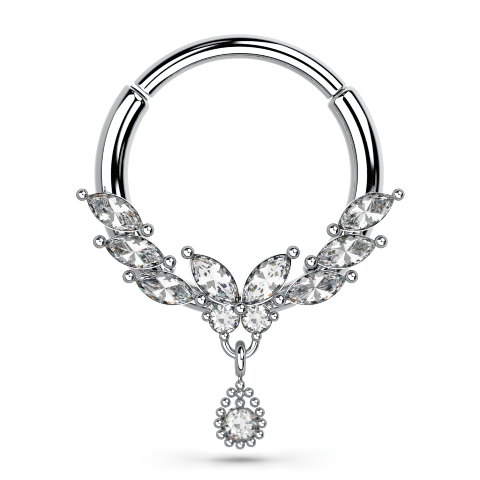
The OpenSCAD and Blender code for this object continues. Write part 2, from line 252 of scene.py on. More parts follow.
def at_turn(turn, left=False):
    """Matrix from the frame of a tube end (+X down into the tube, +Z out of the ring) to the row frame."""
    r = bpy.context.scene.ring_sizes.ring_r
    place = Matrix.Translation((0, 0, -r)) @ Matrix.Rotation(turn, 4, "Y") @ Matrix.Translation((0, 0, r))
    return MIRROR @ place if left else place


def on_front(stone, left=False):
    """Matrix from a stone's own frame, which faces +Z, to its place on the front."""
    x, z, turn = stone
    place = Matrix.Translation((x * MM, 0, z * MM)) @ FORWARD @ Matrix.Rotation(radians(turn), 4, "Z")
    return MIRROR @ place if left else place


def on_drop():
    """Matrix from the frame of the drop's stone, which faces +Z, to the row frame."""
    return Matrix.Translation((0, -DROP_DEPTH - DROP_SHIFT, DROP_Z)) @ FORWARD


def front_point(spot, height):
    return Vector((spot[0] * MM, -height, spot[1] * MM))


# ---- skins

def skin(loops, closed=False):
    """Shell over equal loops of points: open ends are capped, and closed joins the last loop to the first."""
    points = [Vector(p) for loop in loops for p in loop]
    n = len(loops[0])
    faces = []
    for i in range(len(loops) - (0 if closed else 1)):
        a, b = i * n, (i + 1) % len(loops) * n
        faces += [(a + j, a + (j + 1) % n, b + (j + 1) % n, b + j) for j in range(n)]
    if not closed:
        faces += [tuple(range(n)), tuple(range(len(points) - n, len(points)))]
    return points, faces


def moved(shell, matrix):
    return [matrix @ p for p in shell[0]], shell[1]


def both_sides(shell):
    return [shell, moved(shell, MIRROR)]


def full_turn(steps):
    """Angles of even steps round a circle."""
    return [2 * pi * i / steps for i in range(steps)]


def circle(radius, steps, height=0.0):
    return [Vector((radius * cos(t), radius * sin(t), height)) for t in full_turn(steps)]


def lens_arc(l, w, grow=0.0):
    """Arc of a pointed oval: its radius, how far its middle lies from the oval's, and half its angle."""
    r = (l * l + w * w) / (2 * w)
    return r + grow, r - w, acos((r - w) / (r + grow))


def lens(l, w, grow, height):
    """Loop round a pointed oval that is grown by an offset: two arcs that meet in two tips."""
    r, off, reach = lens_arc(l, w, grow)
    half = [reach * (2 * i / ARC_STEPS - 1) for i in range(ARC_STEPS)]
    upper = [Vector((r * sin(-t), r * cos(t) - off, height)) for t in half]
    return upper + [Vector((-p.x, -p.y, height)) for p in upper]


def rod(start, end, radius):
    turn = (end - start).to_track_quat("Z", "Y").to_matrix().to_4x4()
    length = (end - start).length
    soft = min(SOFT_EDGE, radius / 2)
    heights = [(radius - soft, 0), (radius, soft), (radius, length - soft), (radius - soft, length)]
    return moved(skin([circle(r, WIRE_STEPS, h) for r, h in heights]), Matrix.Translation(start) @ turn)


def ring_of(outline, profile):
    """Closed shell whose profile of (offset, height) points runs round an outline."""
    return skin([outline(grow, height) for grow, height in profile], closed=True)


def softened(outer, inner, low, high):
    """Profile of a flat ring with soft edges, as offsets and heights."""
    s, bend = SOFT_EDGE, SOFT_EDGE * EDGE_BEND
    return [
        (outer, low + s), (outer, high - s), (outer - bend, high - bend), (outer - s, high),
        (inner + s, high), (inner + bend, high - bend), (inner, high - s),
        (inner, low + s), (inner + s, low), (outer - s, low),
    ]


def rail_profile(outer, inner, seat):
    """Profile of a rail whose inside is cut back to take the stone down to its seat."""
    s, bend, lip = SOFT_EDGE, SOFT_EDGE * EDGE_BEND, STONE_GAP
    return [
        (outer, RAIL_LOW + s), (outer, RAIL_TOP - s), (outer - bend, RAIL_TOP - bend),
        (outer - s, RAIL_TOP), (lip + s * LIP_BEND, RAIL_TOP), (lip, RAIL_TOP - s * LIP_BEND),
        (lip, GIRDLE_H - STONE_GAP), (-inner, seat), (-inner, RAIL_LOW + s), (s - inner, RAIL_LOW),
        (outer - s, RAIL_LOW),
    ]


def ring_loop(turn, radii):
    """Loop round the ring's wire at a turn: radii are its distances from the centre line."""
    r = bpy.context.scene.ring_sizes.ring_r
    out = Vector((sin(turn), 0, cos(turn)))
    return [
        Vector((0, 0, -r)) + out * (r + reach * cos(a)) + Vector((0, reach * sin(a), 0))
        for a, reach in zip(full_turn(len(radii)), radii)
    ]


def radii_of(shift, radius):
    """Distances from the centre line to a circle that is shifted outwards from it."""
    return [shift * cos(a) + sqrt(radius ** 2 - (shift * sin(a)) ** 2) for a in full_turn(ROUND_STEPS)]


def rounded_end(radius, out_edge, in_edge):
    """Distances along the wire from its end face, each with the radii there, for an end with rounded edges."""
    steps = []
    for i in range(EDGE_STEPS + 1):
        s = max(out_edge, in_edge) * (1 - cos(pi / 2 * i / EDGE_STEPS))
        out, inner = (radius if s >= e else radius - e + sqrt(e ** 2 - (e - s) ** 2) for e in (out_edge, in_edge))
        steps.append((s, radii_of((out - inner) / 2, (out + inner) / 2)))
    return steps


# ---- meshes and pieces

def mesh_of(name, shells):
    """One mesh of closed shells, with every face pointing outwards."""
    bm = bmesh.new()
    for points, faces in shells:
        made = [bm.verts.new(p) for p in points]
        for face in faces:
            bm.faces.new([made[i] for i in face])
    bmesh.ops.remove_doubles(bm, verts=bm.verts, dist=SAME_PLACE)
    bmesh.ops.recalc_face_normals(bm, faces=bm.faces)
    mesh = bpy.data.meshes.new(name)
    bm.to_mesh(mesh)
    bm.free()
    return mesh


def object_of(name, mesh):
    obj = bpy.data.objects.new(name, mesh)
    bpy.context.scene.collection.objects.link(obj)
    return obj


def baked(obj):
    """Applies the object's modifiers: the result replaces its mesh."""
    depsgraph = bpy.context.evaluated_depsgraph_get()
    mesh = bpy.data.meshes.new_from_object(obj.evaluated_get(depsgraph))
    obj.modifiers.clear()
    obj.data = mesh
    mesh.name = obj.name
    return obj


def settle(obj, body, node, material):
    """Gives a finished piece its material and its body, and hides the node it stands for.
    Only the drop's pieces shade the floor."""
    obj.data.materials.clear()
    obj.data.materials.append(material)
    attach(obj, body)
    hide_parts(node)
    obj.visible_shadow = body == DROP


def steel_piece(name, shells, body, node, hollows=()):
    """Polished steel piece made of closed shells, with hollows cut out of it."""
    obj = object_of(name, mesh_of(name, shells))
    for hollow in hollows:
        cutter = object_of("cutter", mesh_of("cutter", [hollow]))
        change = obj.modifiers.new("cut", "BOOLEAN")
        change.operation, change.solver, change.object = "DIFFERENCE", "EXACT", cutter
        baked(obj)
        bpy.data.objects.remove(cutter)
    obj.data.shade_smooth()
    obj.data.set_sharp_from_angle(angle=SHARP_ANGLE)
    settle(obj, body, node, polished_steel())


def block(low, high):
    corners = [(low[0], low[1]), (high[0], low[1]), (high[0], high[1]), (low[0], high[1])]
    return skin([[Vector((x, y, z)) for x, y in corners] for z in (low[2], high[2])])


# ---- nodes

def add_node(tree, kind, inputs=(), **settings):
    """Adds a node. inputs are values, nodes or sockets by place, or a dict of them by name or place."""
    node = tree.nodes.new(kind)
    for name, value in settings.items():
        setattr(node, name, value)
    for key, value in (inputs.items() if isinstance(inputs, dict) else enumerate(inputs)):
        if isinstance(value, bpy.types.Node):
            value = value.outputs[0]
        if isinstance(value, bpy.types.NodeSocket):
            tree.links.new(value, node.inputs[key])
        else:
            node.inputs[key].default_value = value
    return node


def wire_tree():
    """Geometry Nodes tree: a round wire along every edge and a ball on every point with a ball radius."""
    tree = bpy.data.node_groups.new("Wires and balls", "GeometryNodeTree")
    node = partial(add_node, tree)
    for label, way, kind in (
            ("Geometry", "INPUT", "Geometry"), ("Wire sides", "INPUT", "Int"), ("Ball detail", "INPUT", "Int"),
            ("Material", "INPUT", "Material"), ("Geometry", "OUTPUT", "Geometry")):
        tree.interface.new_socket(label, in_out=way, socket_type="NodeSocket" + kind)
    given = node("NodeGroupInput").outputs
    wire_r = node("GeometryNodeInputNamedAttribute", {"Name": "wire_r"}, data_type="FLOAT")
    ball_r = node("GeometryNodeInputNamedAttribute", {"Name": "ball_r"}, data_type="FLOAT")
    lines = node("GeometryNodeMeshToCurve", [given["Geometry"]])
    rim = node("GeometryNodeCurvePrimitiveCircle", {"Resolution": given["Wire sides"], "Radius": 1.0})
    wires = node("GeometryNodeCurveToMesh", {
        "Curve": lines, "Profile Curve": rim, "Scale": wire_r, "Fill Caps": True})
    has_ball = node("FunctionNodeCompare", {"A": ball_r, "B": 0.0}, operation="GREATER_THAN")
    spots = node("GeometryNodeMeshToPoints", {"Mesh": given["Geometry"], "Selection": has_ball})
    sphere = node("GeometryNodeMeshIcoSphere", {"Radius": 1.0, "Subdivisions": given["Ball detail"]})
    balls = node("GeometryNodeInstanceOnPoints", {"Points": spots, "Instance": sphere, "Scale": ball_r})
    both = node("GeometryNodeJoinGeometry")
    for part in (wires, balls):
        tree.links.new(part.outputs[0], both.inputs[0])
    real = node("GeometryNodeRealizeInstances", [both])
    shaded = node("GeometryNodeSetShadeSmooth", [real])
    painted = node("GeometryNodeSetMaterial", {"Geometry": shaded, "Material": given["Material"]})
    node("NodeGroupOutput", [painted])
    return tree


def grown_piece(name, points, edges, wire, ball, body, node):
    """Steel piece with painted rim shade, grown along edges and on points. wire and ball give the radii at every
    point.
    """
    mesh = bpy.data.meshes.new(name)
    mesh.from_pydata(points, edges, [])
    for label, radii in (("wire_r", wire), ("ball_r", ball)):
        mesh.attributes.new(label, "FLOAT", "POINT").data.foreach_set("value", radii)
    obj = object_of(name, mesh)
    change = obj.modifiers.new("grow", "NODES")
    change.node_group = wire_tree()
    values = {"Wire sides": WIRE_STEPS, "Ball detail": BALL_DETAIL, "Material": polished_steel(True)}
    for socket in change.node_group.interface.items_tree:
        if socket.in_out == "INPUT" and socket.name in values:
            change[socket.identifier] = values[socket.name]
    settle(baked(obj), body, node, polished_steel(True))


def bent_wire(name, points, radius, body, node, closed=False):
    n = len(points)
    edges = [(i, (i + 1) % n) for i in range(n if closed else n - 1)]
    grown_piece(name, points, edges, [radius] * n, [0.0] * n, body, node)


# ---- materials

# Texture of the finishes: the haze and the swell that buffing leaves on steel, and the fibres of paper
HAZE_SIZE, SWELL_SIZE, SWELL_HEIGHT = 0.3 * MM, 1.2 * MM, 0.0006 * MM
TOOTH_SIZE, TOOTH_HEIGHT = 0.5 * MM, 0.002 * MM


def new_material(name, values):
    """Material with constant values on its shader, that shader, and short calls that add a node and a link."""
    mat = bpy.data.materials.new(name)
    mat.use_nodes = True
    tree = mat.node_tree
    shader = tree.nodes["Principled BSDF"]
    for label, value in values.items():
        shader.inputs[label].default_value = value
    return mat, shader, partial(add_node, tree), tree.links.new


def polished_steel(painted_rim_shade=False):
    """Surgical stainless steel, buffed to a mirror: near-white, sharp reflections, with the faint haze and the
    soft unevenness that hand buffing leaves. The buffing haze is drawn at 0.3 mm, coarser than the real one, to show.
    With painted rim shade, for the balls and small wires: their colour is painted darker towards their outline, as
    shade."""
    name = "Surgical steel with painted rim shade" if painted_rim_shade else "Polished surgical steel"
    if name in bpy.data.materials:
        return bpy.data.materials[name]
    steel = (*bpy.context.scene.ring_finish.steel, 1)
    mat, shader, node, link = new_material(name, {"Base Color": steel, "Metallic": 1.0})
    # Painted shade: the colour goes from the steel's towards the rim colour where the surface turns away, at the
    # outline
    if painted_rim_shade:
        facing = node("ShaderNodeLayerWeight", [0.5]).outputs["Facing"]
        side = node("ShaderNodeMapRange", {"Value": facing, "From Min": 0.3, "From Max": 0.75})
        rim_shade_colour = node("ShaderNodeMix", {
            0: side.outputs["Result"], 6: steel, 7: (*bpy.context.scene.ring_finish.rim, 1)}, data_type="RGBA")
        link(rim_shade_colour.outputs[2], shader.inputs["Base Color"])
    place = node("ShaderNodeTexCoord").outputs["Object"]
    haze = node("ShaderNodeTexNoise", {"Vector": place, "Scale": 1 / HAZE_SIZE, "Detail": 3.0})
    rough = node("ShaderNodeMapRange", {"Value": haze.outputs["Fac"], "To Min": 0.025, "To Max": 0.06})
    link(rough.outputs["Result"], shader.inputs["Roughness"])
    swell = node("ShaderNodeTexNoise", {"Vector": place, "Scale": 1 / SWELL_SIZE, "Detail": 1.0})
    bump = node("ShaderNodeBump", {"Strength": 1.0, "Distance": SWELL_HEIGHT, "Height": swell.outputs["Fac"]})
    link(bump.outputs["Normal"], shader.inputs["Normal"])
    return mat


def clear_zirconia(cut_name, index):
    """Cubic zirconia, sawn and polished flat facet by facet: water-clear. A few small facets near the edge are painted
    in colours and dark tints, which stand in for the dispersed light and the dark reflections of the stone. The round
    stones throw the light back from the pavilion in sharp dark and bright facets. The ovals look paler and more even,
    which a lower index gives."""
    name = f"Cubic zirconia, {cut_name} cut"
    if name in bpy.data.materials:
        return bpy.data.materials[name]
    mat, shader, node, link = new_material(name, {"Transmission Weight": 1.0, "Roughness": 0.0, "IOR": index})
    place = node("ShaderNodeTexCoord").outputs["Object"]
    # Painted colour for dispersed light and dark reflections: random cells of facets near the rim get tints from the
    # ramp
    cells = node("ShaderNodeTexVoronoi", {"Vector": place, "Scale": 1 / PAINTED_FIRE_CELL})
    draw = node("ShaderNodeSeparateColor", [cells.outputs["Color"]]).outputs["Red"]
    rim = node("ShaderNodeAttribute", attribute_name="rim").outputs["Fac"]
    painted_flash = node("ShaderNodeMath", [rim, PAINTED_FIRE_RIM], operation="GREATER_THAN")
    painted_fire = node("ShaderNodeMath", [draw, painted_flash], operation="MULTIPLY")
    ramp = node("ShaderNodeValToRGB", [painted_fire])
    ramp.color_ramp.interpolation = "CONSTANT"
    stops = ramp.color_ramp.elements
    stops[0].color = (*bpy.context.scene.ring_finish.stone, 1)
    stops[1].position, stops[1].color = PAINTED_FIRE[0][0], (*srgb(PAINTED_FIRE[0][1]), 1)
    for spot, colour in PAINTED_FIRE[1:]:
        stops.new(spot).color = (*srgb(colour), 1)
    link(ramp.outputs["Color"], shader.inputs["Base Color"])
    return mat


def white_paper():
    """Seamless matt paper, pressed and uncoated: a pale floor with the faint tooth of its fibres, drawn at 0.5 mm."""
    mat, shader, node, link = new_material("Seamless paper", {
        "Base Color": (*bpy.context.scene.ring_finish.paper, 1), "Roughness": 0.9, "Specular IOR Level": 0.0})
    place = node("ShaderNodeTexCoord").outputs["Object"]
    tooth = node("ShaderNodeTexNoise", {"Vector": place, "Scale": 1 / TOOTH_SIZE, "Detail": 2.0})
    bump = node("ShaderNodeBump", {"Strength": 0.3, "Distance": TOOTH_HEIGHT, "Height": tooth.outputs["Fac"]})
    link(bump.outputs["Normal"], shader.inputs["Normal"])
    # The sheet rises behind the ring, so it is see-through from below, where it would hide the ring
    below = node("ShaderNodeNewGeometry").outputs["Backfacing"]
    clear = node("ShaderNodeBsdfTransparent").outputs["BSDF"]
    sheet = node("ShaderNodeMixShader", {0: below, 1: shader.outputs["BSDF"], 2: clear})
    output = next(n for n in mat.node_tree.nodes if n.type == "OUTPUT_MATERIAL")
    link(sheet.outputs["Shader"], output.inputs["Surface"])
    return mat


# ---- the ring

def wire_loops(from_turn, to_turn, radii):
    """Loops along the ring's wire, one a degree, without the one at from_turn."""
    count = max(1, round(abs(to_turn - from_turn) / radians(1)))
    return [ring_loop(from_turn + (to_turn - from_turn) * (i + 1) / count, radii) for i in range(count)]


def end_loops(turn, stations):
    """Loops at the (run, radii) stations of an end, whose runs are measured from a turn."""
    line = bpy.context.scene.ring_sizes.ring_r
    return [ring_loop(turn + run / line, radii) for run, radii in stations]


def turned_round(stations):
    """The stations of an end as they follow each other towards it."""
    return [(-run, radii) for run, radii in reversed(stations)]


class JEWEL_OT_ring_tube(bpy.types.Operator):
    """Build the thick tube and the slim bar behind the stones, with the hinge's fork and the clasp's slot"""

    bl_idname = "jewel.ring_tube"
    bl_label = "Tube and slim bar"

    def execute(self, context):
        s = context.scene.ring_sizes
        line, thick = s.ring_r, s.tube_d / 2
        full, slim = radii_of(0, thick), radii_of(s.slim_r - line, s.slim_d / 2)
        clasp, hinge = rounded_end(thick, *CLASP_END), rounded_end(thick, *HINGE_END)
        shoulder = [
            (LOW_END_LENGTH - run, [max(a, b) for a, b in zip(radii, slim)])
            for run, radii in reversed(rounded_end(thick, LOW_END, LOW_END))
        ]
        shoulder.append((LOW_END_LENGTH, slim))
        start, end = s.clasp_turn, 2 * pi - s.hinge_turn
        low_start, low_end = s.tube_turn, 2 * pi - s.tube_turn
        face = LOW_END_LENGTH / line
        loops = end_loops(start, clasp) + wire_loops(start + clasp[-1][0] / line, low_start, full)
        loops += end_loops(low_start, shoulder) + wire_loops(low_start + face, low_end - face, slim)[:-1]
        loops += end_loops(low_end, turned_round(shoulder)) + wire_loops(low_end, end - hinge[-1][0] / line, full)[:-1]
        loops += end_loops(end, turned_round(hinge))
        far = s.tube_d
        fork, slot = TONGUE_THICK / 2 + FORK_PLAY, LUG_THICK / 2 + LUG_PLAY
        pin = skin([circle(PIN_RADIUS + PIN_SEAT, WIRE_STEPS, h) for h in (-PIN_FRONT - PIN_SEAT, far)])
        pin_place = Matrix.Translation(PIN_SPOT) @ Matrix.Rotation(-pi / 2, 4, "X")
        left = at_turn(s.hinge_turn, left=True)
        steel_piece("ring_tube", [skin(loops)], RING, "ring_body", [
            moved(block((-far, -fork, -far), (FORK_DEEP, fork, far)), left),
            moved(moved(pin, pin_place), left),
            moved(block((-far, -slot, -LUG_SLOT_HALF), (LUG_SLOT_IN, slot, far)), at_turn(s.clasp_turn)),
        ])
        return {"FINISHED"}


class JEWEL_OT_settings(bpy.types.Operator):
    """Build the open settings of the ring's stones: a rail round each stone, a foot and the struts between them"""

    bl_idname = "jewel.settings"
    bl_label = "Stone settings"

    def execute(self, context):
        s = context.scene.ring_sizes
        ovals = [(place, s.side_l, s.side_w, SIDE_RAIL_OUT) for place in SIDE_STONES]
        ovals.append((LEAF_STONE, s.leaf_l, s.leaf_w, LEAF_RAIL_OUT))
        seat = GIRDLE_H - RAIL_IN * tan(OVAL_CUT[0])
        round_seat = GIRDLE_H - ROUND_RAIL_IN * tan(ROUND_CUT[0])
        shells = []

        def add(shell, place):
            shells.extend(both_sides(moved(shell, on_front(place))))

        def disc(grow, height):
            return circle(s.round_r + grow, 2 * ARC_STEPS, height)

        for place, l, w, outer in ovals:
            outline = partial(lens, l, w)
            add(ring_of(outline, rail_profile(outer, RAIL_IN, seat)), place)
            add(ring_of(outline, softened(-FOOT_OUT, -FOOT_IN, FOOT_LOW, FOOT_TOP)), place)
            for sign in (-1, 1):
                low = Vector((0, sign * (w - (FOOT_OUT + FOOT_IN) / 2), CLAW_LOW))
                high = Vector((0, sign * (w - STRUT_RADIUS / 4), STRUT_TOP))
                add(rod(low, high, STRUT_RADIUS), place)
        add(ring_of(disc, rail_profile(ROUND_RAIL_OUT, ROUND_RAIL_IN, round_seat)), ROUND_STONE)
        outer, inner = (r - s.round_r for r in ROUND_FOOT)
        add(ring_of(disc, softened(outer, inner, FOOT_LOW, FOOT_TOP)), ROUND_STONE)
        steel_piece("stone_settings", shells, RING, "ring_body")
        return {"FINISHED"}


class JEWEL_OT_claws(bpy.types.Operator):
    """Grow the claws from the settings' feet out to the balls on their tips"""

    bl_idname = "jewel.claws"
    bl_label = "Claws and balls"

    def execute(self, context):
        s = context.scene.ring_sizes
        claws = []
        for place, tips in zip(SIDE_STONES, SIDE_BALLS):
            claws += [(place, s.side_l - 2 * FOOT_OUT, tip) for tip in tips]
        claws.append((LEAF_STONE, s.leaf_l - 2 * FOOT_OUT, LEAF_BALL))
        claws += [(ROUND_STONE, sum(ROUND_FOOT) / 2, tip) for tip in (OUTER_BALL, LOW_BALL)]
        points, edges, prong, ball = [], [], [], []

        def add_claw(foot, tip, radius):
            edges.append((len(points), len(points) + 1))
            points.extend([foot, tip])
            prong.extend([CLAW_SHARE * radius * MM] * 2)
            ball.extend([0.0, radius * MM])

        for middle, reach, tip in claws:
            start, end = front_point(middle, 0), front_point(tip, 0)
            foot = start + (end - start).normalized() * reach
            foot.y, end.y = -CLAW_LOW, -BALL_H
            for side in (Matrix(), MIRROR):
                add_claw(side @ foot, side @ end, tip[2])
        add_claw(front_point(MIDDLE_BALL, 0), front_point(MIDDLE_BALL, BALL_H), MIDDLE_BALL[2])
        for sign in (-1, 1):
            points.append(front_point((sign * LINK_BALL[0], LINK_BALL[1]), LINK_H))
            prong.append(0.0)
            ball.append(LINK_BALL[2] * MM)
        grown_piece("claws", points, edges, prong, ball, RING, "ring_body")
        return {"FINISHED"}


class JEWEL_OT_carrying_loop(bpy.types.Operator):
    """Bend the small wire loop under the round stones that carries the drop"""

    bl_idname = "jewel.carrying_loop"
    bl_label = "Carrying loop"

    def execute(self, context):
        arc = [pi * i / WIRE_STEPS for i in range(WIRE_STEPS + 1)]
        line = [(LOOP_RADIUS, LOOP_TOP)]
        line += [(LOOP_RADIUS * cos(t), LOOP_Z - LOOP_RADIUS * sin(t)) for t in arc] + [(-LOOP_RADIUS, LOOP_TOP)]
        bent_wire("carrying_loop", [Vector((x, -DROP_DEPTH, z)) for x, z in line], LOOP_WIRE, RING, "ring_body")
        return {"FINISHED"}


# ---- the hinged bar

def tongue_plate(outline, hole, thick):
    """Flat tongue with soft edges and a bore. Its front falls away towards +X."""
    s = SOFT_EDGE

    def inset(depth):
        return [p + (PIN_SPOT - p).normalized() * s + Vector((0, depth, 0)) for p in outline]

    def level(points, depth):
        return [p + Vector((0, depth, 0)) for p in points]

    half = thick / 2
    points, faces = skin([
        level(hole, -half), inset(-half), level(outline, s - half), level(outline, half - s), inset(half),
        level(hole, half)], closed=True)
    for p in points:
        if p.y < 0:
            p.y += TONGUE_FALL * (p.x + TONGUE_ROOT)
    return points, faces


def hull_radius(points, middle, angle):
    """Distance from middle to the convex outline round points, in the XZ plane."""
    ray = Vector((cos(angle), 0, sin(angle)))
    best = 0.0
    for i, a in enumerate(points):
        for b in points[i + 1:]:
            side = b - a
            turn = ray.x * side.z - ray.z * side.x
            if abs(turn) < SLACK:
                continue
            away = a - middle
            reach = (away.x * side.z - away.z * side.x) / turn
            share = (away.x * ray.z - away.z * ray.x) / turn
            if reach > best and -SLACK <= share <= 1 + SLACK:
                best = reach
    return best


class JEWEL_OT_hinged_bar(bpy.types.Operator):
    """Build the slim bar that closes the ring, with its tongue and lug, and the pin of the hinge"""

    bl_idname = "jewel.hinged_bar"
    bl_label = "Hinged bar and pin"

    def execute(self, context):
        s = context.scene.ring_sizes
        line, radius = s.ring_r, s.bar_d / 2
        ends = rounded_end(radius, BAR_END, BAR_END)
        left = -(s.hinge_turn - HINGE_GAP / line)
        right = s.clasp_turn - CLASP_GAP / line
        soft = ends[-1][0] / line
        loops = end_loops(left, ends) + wire_loops(left + soft, right - soft, radii_of(0, radius))[:-1]
        loops += end_loops(right, turned_round(ends))
        corners = [
            Vector((x, 0, sign * z)) for sign in (-1, 1)
            for x, z in ((-TONGUE_ROOT, TONGUE_ROOT_HALF), (-TONGUE_NECK, TONGUE_HALF), (0, TONGUE_HALF))
        ]
        turns = full_turn(ROUND_STEPS)
        rays = [Vector((cos(t), 0, sin(t))) for t in turns]
        eye = [PIN_SPOT + ray * TONGUE_RADIUS for ray in rays[::6]]
        outline = [
            PIN_SPOT + ray * max(TONGUE_RADIUS, hull_radius(corners + eye, PIN_SPOT, t)) for ray, t in zip(rays, turns)
        ]
        hole = [PIN_SPOT + ray * (PIN_RADIUS + PIN_PLAY) for ray in rays]
        hinge = at_turn(s.hinge_turn, left=True)
        tongue = moved(tongue_plate(outline, hole, TONGUE_THICK), hinge)
        nose = [pi * (i / EDGE_STEPS - 0.5) for i in range(EDGE_STEPS + 1)]
        lug_line = [(-LUG_ROOT, LUG_HALF), (-LUG_ROOT, -LUG_HALF)]
        lug_line += [(LUG_IN - LUG_HALF + LUG_HALF * cos(t), LUG_HALF * sin(t)) for t in nose]
        lug = moved(skin([[Vector((x, d, z)) for x, z in lug_line] for d in (-LUG_THICK / 2, LUG_THICK / 2)]),
                    at_turn(s.clasp_turn))
        steel_piece("hinged_bar_steel", [skin(loops), tongue, lug], BAR, "hinged_bar")
        front, rear = (hinge @ Vector((PIN_IN, depth, PIN_OUT)) for depth in (-PIN_FRONT, PIN_BACK))
        steel_piece("hinge_pin_steel", [rod(front, rear, PIN_RADIUS)], RING, "hinge_pin")
        return {"FINISHED"}


# ---- stones

def meet(n1, d1, n2, d2):
    """Point where two lines meet, each given by its normal and its distance from the middle."""
    det = n1.x * n2.y - n1.y * n2.x
    return Vector(((d1 * n2.y - d2 * n1.y) / det, (n1.x * d2 - n2.x * d1) / det))


def cut_stone(mains, mids, half, kind):
    """Closed stone with a table, stars, kites, upper halves, a girdle, lower halves and pavilion mains.
    mains are the (point, outward normal) of the main facets on the girdle, mids the girdle points between them."""
    angle, inset, lower = kind
    crown, deep = inset * tan(CROWN_ANGLE), half * tan(angle)
    n = len(mains)
    reach = [p.dot(normal) for p, normal in mains]
    top = GIRDLE_T
    points = []

    def row(made):
        points.extend(made)
        return range(len(points) - len(made), len(points))

    def between(share_in, height, scale):
        made = []
        for i in range(n):
            j = (i + 1) % n
            spot = meet(mains[i][1], reach[i] * scale - share_in, mains[j][1], reach[j] * scale - share_in)
            made.append(Vector((spot.x, spot.y, height)))
        return made

    corners = [p for p, _ in mains]
    t = row([Vector((*(p - normal * inset), top + crown)) for p, normal in mains])
    s = row(between(STAR_SHARE * inset, top + STAR_SHARE * crown, 1.0))
    mt, dt, ml, dl = (row([Vector((*p, h)) for p in spots]) for h in (top, 0) for spots in (corners, mids))
    lo = row(between(0, -lower * deep, 1 - lower))
    culet, = row([Vector((0, 0, -deep))])
    # t: table, s: stars, mt and ml: mains above and below the girdle, dt and dl: halves, lo: lower facets
    faces = [tuple(t)]
    for i in range(n):
        j, before = (i + 1) % n, i - 1
        faces += [
            (t[i], t[j], s[i]), (t[i], s[before], mt[i], s[i]),
            (mt[i], dt[i], s[i]), (dt[i], mt[j], s[i]),
            (mt[i], ml[i], dl[i], dt[i]), (dt[i], dl[i], ml[j], mt[j]),
            (ml[i], lo[i], dl[i]), (dl[i], lo[i], ml[j]),
            (ml[i], lo[before], culet, lo[i]),
        ]
    return points, faces


def round_cut(radius):
    ways = [Vector((cos(t), sin(t))) for t in (pi / MAINS * (i + 1) for i in range(2 * MAINS))]
    return cut_stone([(way * radius, way) for way in ways[::2]], [way * radius for way in ways[1::2]],
                     radius, ROUND_CUT)


def lens_cut(l, w):
    r, off, reach = lens_arc(l, w)
    mains, mids = [], []
    for up in (1, -1):
        for i in range(MAINS):
            t = reach * (2 * (i + 1) / MAINS - 1)
            way = Vector((-up * sin(t), up * cos(t)))
            spot = Vector((-up * r * sin(t), up * (r * cos(t) - off)))
            if i % 2:
                mids.append(spot)
            else:
                mains.append((spot, way))
    return cut_stone(mains, mids, w, OVAL_CUT)


def set_stone(name, shell, matrix, body, node, material):
    """Places a cut stone, whose points know how near the rim they are."""
    mesh = mesh_of(name, [moved(shell, matrix)])
    back = matrix.inverted()
    heights = [(back @ v.co).z for v in mesh.vertices]
    table = max(heights)
    # How near the rim each point lies, which decides where the painted tints for dispersed light and dark reflections
    # go
    rim = [min(1.0, (table - h) / (table - GIRDLE_T)) if h > -SLACK else PAVILION_RIM for h in heights]
    mesh.attributes.new("rim", "FLOAT", "POINT").data.foreach_set("value", rim)
    settle(object_of(name, mesh), body, node, material)


class JEWEL_OT_ring_stones(bpy.types.Operator):
    """Cut and set the ten stones of the ring"""

    bl_idname = "jewel.ring_stones"
    bl_label = "Ring stones"

    def execute(self, context):
        s = context.scene.ring_sizes
        lift = Matrix.Translation((0, 0, GIRDLE_H))
        oval, brilliant = clear_zirconia("oval", OVAL_INDEX), clear_zirconia("round", ROUND_INDEX)
        side_cut, leaf_cut, disc_cut = lens_cut(s.side_l, s.side_w), lens_cut(s.leaf_l, s.leaf_w), round_cut(s.round_r)
        stones = [("marquise", f"_{i}", side_cut, place, oval) for i, place in enumerate(SIDE_STONES, 1)]
        stones += [("leaf", "", leaf_cut, LEAF_STONE, oval), ("round", "", disc_cut, ROUND_STONE, brilliant)]
        for side, left in (("right", False), ("left", True)):
            for kind, number, shell, place, material in stones:
                set_stone(f"{kind}_cut_{side}{number}", shell, on_front(place, left) @ lift,
                          RING, f"{kind}_{side}{number}", material)
        return {"FINISHED"}


# ---- the drop

